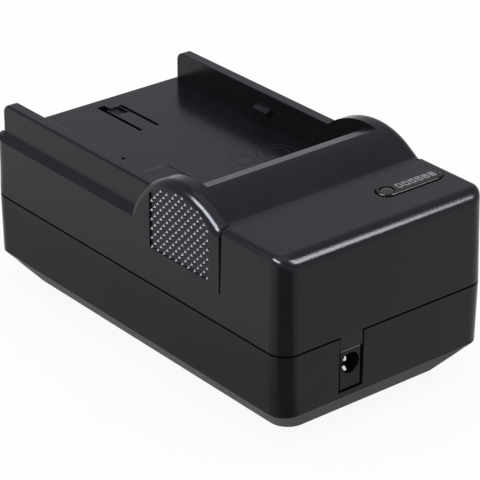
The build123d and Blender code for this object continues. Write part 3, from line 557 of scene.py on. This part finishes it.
WHITE_WIRE = GlossPlastic("white_insulation", (0.7, 0.7, 0.66), roughness=0.3)
STUDIO_PAPER = Paper("studio_paper", (0.93, 0.93, 0.93))


def put(name: str, data: bpy.types.ID) -> bpy.types.Object:
    """Makes an object from its data and adds it to the scene."""
    made = bpy.data.objects.new(name, data)
    bpy.context.scene.collection.objects.link(made)
    return made


@dataclass
class Mesh:
    """Points and faces of one piece while it is put together, in millimetres."""

    points: List[Point]
    faces: List[Face]

    @classmethod
    def empty(cls) -> "Mesh":
        """A mesh with nothing in it."""
        return cls([], [])

    def add(self, points: Iterable[Point], faces: Iterable[Face]) -> None:
        """Adds points, and faces that number them from 0."""
        start = len(self.points)
        self.points.extend(points)
        self.faces.extend([start + index for index in face] for face in faces)

    def slab(self, low: Point, high: Point) -> None:
        """Adds a box between its lowest and its highest corner."""
        outline = [low[:2], (high[0], low[1]), high[:2], (low[0], high[1])]
        count = len(outline)
        points = [(x, y, z) for z in (low[2], high[2]) for x, y in outline]
        sides = [(i, (i + 1) % count, count + (i + 1) % count, count + i) for i in range(count)]
        top = tuple(range(count, 2 * count))
        self.add(points, sides + [top, tuple(reversed(range(count)))])

    def piece(self, name: str, body: Body, slot: str, finish: Finish) -> bpy.types.Object:
        """Makes the object, with flat faces, and sets it on its body.

        Args:
            name: The piece's name.
            body: The body that it moves with.
            slot: The record's material slot; not used.
            finish: How it looks.

        Returns:
            The new object.
        """
        data = bpy.data.meshes.new(name)
        data.from_pydata([Vector(point) * MM for point in self.points], [], self.faces)
        data.shade_flat()
        data.materials.append(finish.material())
        made = put(name, data)
        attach(made, body.value)
        LOG.info("made %s: %d faces", name, len(self.faces))
        return made


class Assembly:
    """A group of CAD nodes that are dressed together."""

    finishes: Dict[str, Finish] = {}

    def dress(self) -> None:
        """Gives each node its finish."""
        for node, finish in self.finishes.items():
            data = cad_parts[node].data
            data.materials.clear()
            data.materials.append(finish.material())
            LOG.info("dressed %s in %s", node, finish.name)

    def build(self) -> None:
        """Makes the pieces that the solids leave to the looks."""


class CaseShell(Assembly):
    """Lower and upper mouldings."""

    finishes = {"lower_case": CASE_BLACK, "upper_case": FRAME_BLACK}


@dataclass
class GripPatch:
    """Pointed studs in the recess on one side of the hump, in millimetres."""

    side: Side
    plane: float = 24.3
    depth: float = 0.35
    sunk: float = 0.02
    height: float = 0.34
    reach: float = 0.46
    front: float = -24.2
    length: float = 17.5
    bottom: float = 25.85
    arc_centre: Span = (-15.29, 25.1)
    arc_radius: float = 14.7
    margin: float = 0.42
    foremost: float = -23.33
    columns: int = 19
    pitch_along: float = 0.9044
    pitch_up: float = 1.88
    lowest: float = 0.14
    sill: float = 0.3

    def _inside(self, y: float, z: float) -> bool:
        """Whether a stud's middle lies well below the recess's arc."""
        away = math.hypot(y - self.arc_centre[0], z - self.arc_centre[1])
        return away < self.arc_radius - self.margin

    def places(self) -> List[Span]:
        """Middles of the studs along Y and Z, in staggered columns."""
        rows = int(self.arc_radius / self.pitch_up) + 1
        found = []
        for column in range(self.columns):
            start = self.bottom + self.lowest + (column % 2) * self.pitch_up / 2
            for row in range(rows):
                place = (self.foremost + column * self.pitch_along, start + row * self.pitch_up)
                if self._inside(*place):
                    found.append(place)
        return found

    def _add_sill(self, mesh: Mesh) -> None:
        """Adds the slope along the recess's lower edge."""
        sign = self.side.value
        back = self.plane - self.sunk
        foot = self.bottom - self.sunk
        brim = self.plane + self.depth - self.sunk
        profile = [(back, foot), (brim, foot), (back, self.bottom + self.sill)]
        ends = (self.front, self.front + self.length)
        points = [(sign * x, y, z) for y in ends for x, z in profile]
        faces = [(0, 1, 2), (5, 4, 3), (0, 3, 4, 1), (1, 4, 5, 2), (2, 5, 3, 0)]
        mesh.add(points, [face[::sign] for face in faces])

    def build(self) -> bpy.types.Object:
        """Makes the studs and their sill as one piece."""
        mesh = Mesh.empty()
        self._add_sill(mesh)
        sign = self.side.value
        reach = self.reach
        base = sign * (self.plane - self.sunk)
        tip = sign * (self.plane + self.height)
        for y, z in self.places():
            ring = [(y + reach, z), (y, z + reach), (y - reach, z), (y, z - reach)]
            points = [(base, py, pz) for py, pz in ring] + [(tip, y, z)]
            corners = list(range(len(ring)))[::sign]
            following = corners[1:] + corners[:1]
            sides = [(first, second, len(ring)) for first, second in zip(corners, following)]
            mesh.add(points, sides + [tuple(reversed(corners))])
        name = "grip_studs_" + self.side.name.lower()
        return mesh.piece(name, Body.CASE, "plate_plastic", STUD_BLACK)


@dataclass
class FloorMarks:
    """Low moulded outlines in the bay floor, a double ring and a square, in millimetres."""

    floor: float = 31.0
    rise: float = 0.04
    sunk: float = 0.02
    slope: float = 0.22
    land: float = 0.1
    ring_place: Span = (13.0, 2.0)
    ring_radii: Tuple[float, ...] = (4.4, 2.9)
    square_place: Span = (6.0, 3.6)
    square_size: float = 4.2
    steps: int = 64

    def _outline(self, mesh: Mesh, middle: Span, corners: Sequence[Span]) -> None:
        """Adds a closed ridge through corners given about a middle."""
        count = len(corners)
        points: List[Point] = []
        inset = 0.0
        ridge = (
            (0.0, -self.sunk),
            (self.slope, self.rise),
            (self.land, self.rise),
            (self.slope, -self.sunk),
        )
        for step, height in ridge:
            inset += step
            for x, y in corners:
                reach = 1 - inset / math.hypot(x, y)
                points.append((middle[0] + x * reach, middle[1] + y * reach, self.floor + height))
        faces = []
        for start in range(0, (len(ridge) - 1) * count, count):
            for i in range(count):
                j = (i + 1) % count
                faces.append((start + i, start + j, start + count + j, start + count + i))
        mesh.add(points, faces)

    def build(self) -> bpy.types.Object:
        """Makes the outlines as one piece."""
        mesh = Mesh.empty()
        turns = [2 * math.pi * step / self.steps for step in range(self.steps)]
        for radius in self.ring_radii:
            ring = [(radius * math.cos(turn), radius * math.sin(turn)) for turn in turns]
            self._outline(mesh, self.ring_place, ring)
        half = self.square_size / 2
        square = [(half, -half), (half, half), (-half, half), (-half, -half)]
        self._outline(mesh, self.square_place, square)
        return mesh.piece("floor_marks", Body.CASE, "plate_plastic", PLATE_BLACK)


class BatteryPlate(Assembly):
    """Plate with the bay, the hump and their moulded details."""

    finishes = {
        "battery_plate": PLATE_BLACK,
        "contact_holder": HOLDER,
        "positive_contact": BRASS,
        "negative_contact": BRASS,
        "signal_contact": BRASS,
    }

    def build(self) -> None:
        """Makes the grip studs on both sides and the marks in the floor."""
        for side in Side:
            GripPatch(side).build()
        FloorMarks().build()


@dataclass
class LensPrint:
    """Generic scale on the indicator lens: cells that fill up in turn, in millimetres."""

    top: float = 37.8
    y: float = -34.25
    start: float = 11.2
    cells: int = 6
    pitch: float = 1.62
    width: float = 1.2
    height: float = 1.7
    line: float = 0.26
    gap_in_lines: float = 1.6
    thickness: float = 0.02
    sunk: float = 0.01

    def _bar(self, mesh: Mesh, low: Span, high: Span) -> None:
        """Adds one printed bar."""
        mesh.slab((*low, self.top - self.sunk), (*high, self.top + self.thickness))

    def _cell(self, mesh: Mesh, left: float, level: float) -> None:
        """Adds one cell of the scale: a frame, filled from one end up to a level."""
        right = left + self.width
        front = self.y - self.height / 2
        back = self.y + self.height / 2
        self._bar(mesh, (left, front), (left + self.line, back))
        self._bar(mesh, (right - self.line, front), (right, back))
        self._bar(mesh, (left + self.line, front), (right - self.line, front + self.line))
        self._bar(mesh, (left + self.line, back - self.line), (right - self.line, back))
        if level > 0:
            gap = self.gap_in_lines * self.line
            top = back - gap
            foot = top - level * (self.height - 2 * gap)
            self._bar(mesh, (left + gap, foot), (right - gap, top))

    def build(self) -> bpy.types.Object:
        """Makes the print as one piece."""
        mesh = Mesh.empty()
        for cell in range(self.cells):
            self._cell(mesh, self.start + cell * self.pitch, cell / (self.cells - 1))
        return mesh.piece("lens_print", Body.CASE, "lens_plastic", PRINT_WHITE)


class Indicator(Assembly):
    """Lens and lamp on the head."""

    finishes = {"charge_lens": LENS_SMOKE, "charge_lamp": LAMP_RESIN}

    def build(self) -> None:
        """Makes the print on the lens."""
        LensPrint().build()


class Jack(Assembly):
    """Jack for the car lead."""

    finishes = {
        "dc_jack_housing": JACK_BLACK,
        "dc_jack_pin": NICKEL,
        "dc_jack_spring": NICKEL,
    }


class Electronics(Assembly):
    """Circuit board and everything that stands on it."""

    finishes = {
        "circuit_board": BOARD_GREEN,
        "transformer_core": FERRITE,
        "transformer_bobbin": BOBBIN,
        "transformer_winding": TAPE,
        "input_capacitor": SLEEVE,
        "output_capacitor": SLEEVE,
        "bridge_rectifier": RESIN_BLACK,
        "switch_transistor": RESIN_BLACK,
        "optocoupler": RESIN_BLACK,
        "controller_chip": RESIN_BLACK,
        "fuse_resistor": LACQUER,
        "output_diode": RESIN_BLACK,
        "positive_lead": RED_WIRE,
        "negative_lead": BLACK_WIRE,
        "signal_lead": WHITE_WIRE,
    }


class MainsPlug(Assembly):
    """Fold-out plug and its feed springs."""

    finishes = {
        "plug_carrier": PLUG_BLACK,
        "plug_blade_left": NICKEL,
        "plug_blade_right": NICKEL,
        "plug_spring_left": BRASS,
        "plug_spring_right": BRASS,
    }


class Fasteners(Assembly):
    """Screws of the case and the board."""

    finishes = {"case_screws": ZINC, "board_screws": ZINC}


@dataclass(frozen=True)
class Softbox:
    """A soft lamp that only gives highlights, with its way from the point it aims at, in metres."""

    name: str
    way: Point
    distance: float
    width: float
    height: float
    power: float
    aim: Point = (0.0, 0.0, 0.02)

    def build(self) -> None:
        """Makes the lamp, turned towards the charger."""
        data = bpy.data.lights.new(self.name, "AREA")
        data.shape = "RECTANGLE"
        data.size = self.width
        data.size_y = self.height
        data.energy = self.power
        made = put(self.name, data)
        away = Vector(self.way).normalized()
        made.location = Vector(self.aim) + away * self.distance
        made.rotation_mode = "QUATERNION"
        made.rotation_quaternion = away.to_track_quat("Z", "Y")
        made.visible_diffuse = False


LEFT_SOFTBOX = Softbox(
    "left_softbox", (-0.75, 0.02, 0.6), distance=0.8, width=0.72, height=0.28, power=32.0
)
RIGHT_SOFTBOX = Softbox(
    "right_softbox", (0.494, -0.626, 0.612), distance=0.8, width=0.2, height=0.4, power=9.2
)


@dataclass
class Studio:
    """White floor, soft light and the camera."""

    eye: Point = (-0.269523, -0.335049, 0.231617)
    target: Point = (0.000155, -0.002518, 0.018)
    roll: float = 0.0915
    lens: float = 186.605
    sensor: float = 36.0
    clip: Span = (0.01, 50.0)
    floor_size: float = 6.0
    floor_level: float = -0.0001
    sky_colour: Colour = (0.93, 0.945, 1.0)
    horizon: float = 1.0
    middle: float = 0.67
    zenith: float = 2.0
    fall: Span = (-0.06, 0.28)
    bank: Span = (0.82, 0.92)
    lamps: Tuple[Softbox, ...] = (LEFT_SOFTBOX, RIGHT_SOFTBOX)

    def floor(self) -> None:
        """Makes the floor."""
        half = self.floor_size / 2
        plan = ((-half, -half), (half, -half), (half, half), (-half, half))
        data = bpy.data.meshes.new("studio_floor")
        data.from_pydata([(x, y, self.floor_level) for x, y in plan], [], [(0, 1, 2, 3)])
        data.materials.append(STUDIO_PAPER.material())
        made = put("studio_floor", data)

    def sky(self) -> None:
        """Makes the surroundings: a bank overhead, white at the horizon and softer between."""
        world = bpy.data.worlds.new("studio")
        bpy.context.scene.world = world
        world.use_nodes = True
        graph = Graph(world.node_tree)
        up = graph.axes(graph.node("ShaderNodeTexCoord", None, None, "Generated"))[2]
        strength = self.horizon - up.between(*self.fall) * (self.horizon - self.middle)
        strength = strength + up.between(*self.bank) * (self.zenith - self.middle)
        inputs = {"Color": rgba(self.sky_colour), "Strength": strength}
        light = graph.node("ShaderNodeBackground", None, inputs)
        graph.node("ShaderNodeOutputWorld", None, {"Surface": light})

    def camera(self) -> None:
        """Makes the camera at the photograph's viewing angle."""
        data = bpy.data.cameras.new("camera")
        data.sensor_width = self.sensor
        data.lens = self.lens
        data.clip_start, data.clip_end = self.clip
        made = put("camera", data)
        eye = Vector(self.eye)
        look = (Vector(self.target) - eye).to_track_quat("-Z", "Y").to_matrix().to_4x4()
        turn = Matrix.Rotation(math.radians(self.roll), 4, "Z")
        made.matrix_world = Matrix.Translation(eye) @ look @ turn
        bpy.context.scene.camera = made

    def build(self) -> None:
        """Makes the whole studio."""
        self.floor()
        self.sky()
        for lamp in self.lamps:
            lamp.build()
        self.camera()
        bpy.context.scene.view_settings.view_transform = "Standard"


def main() -> None:
    """Builds and dresses every sub-assembly in order, then the studio."""
    logging.basicConfig(level=logging.INFO, format="%(name)s: %(message)s")
    groups = (
        CaseShell(),
        BatteryPlate(),
        Indicator(),
        Jack(),
        Electronics(),
        MainsPlug(),
        Fasteners(),
    )
    for group in groups:
        group.dress()
        group.build()
        LOG.info("finished %s", type(group).__name__)
    Studio().build()


if __name__ == "__main__":
    main()
